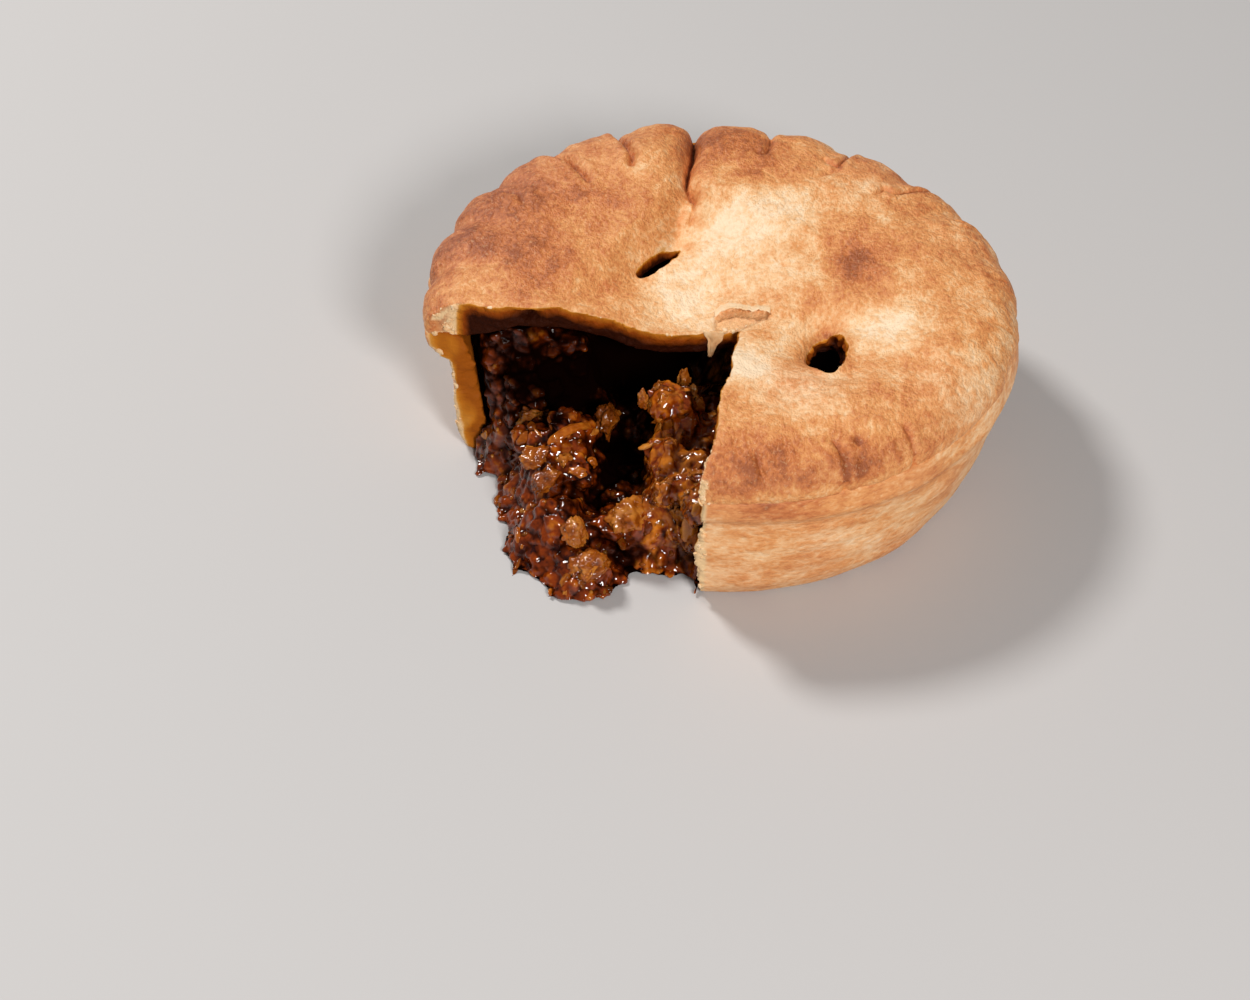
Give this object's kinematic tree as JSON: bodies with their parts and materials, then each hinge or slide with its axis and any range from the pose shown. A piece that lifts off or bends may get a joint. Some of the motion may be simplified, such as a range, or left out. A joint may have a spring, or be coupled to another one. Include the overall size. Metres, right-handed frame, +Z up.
{
  "type": "steak and cheese pie",
  "caption": "Round single-serve savoury pie with a pinched puffed lid, steam vents and a wedge cut out that shows its chunky steak and gravy filling.",
  "frame": {"origin": "middle of the rim's circle, on the plane that the pie's flat base rests on", "axes": "+Z up along the rim's axis; the missing wedge opens towards -X and -Y"},
  "size_m": [0.1102, 0.11, 0.0368],
  "materials": {
    "case_pastry": "pale golden baked shortcrust, matt, faintly streaked, stained by gravy beside the cut",
    "lid_pastry": "golden brown baked flaky crust, matt with a soft sheen, paler in the middle",
    "steak_in_gravy": "dark brown wet gravy over shredded and chunky steak with melted orange-tan bits"
  },
  "bodies": {
    "root": {"pastry_case": "case_pastry", "pastry_lid": "lid_pastry", "steak_filling": "steak_in_gravy"}
  },
  "joints": []
}
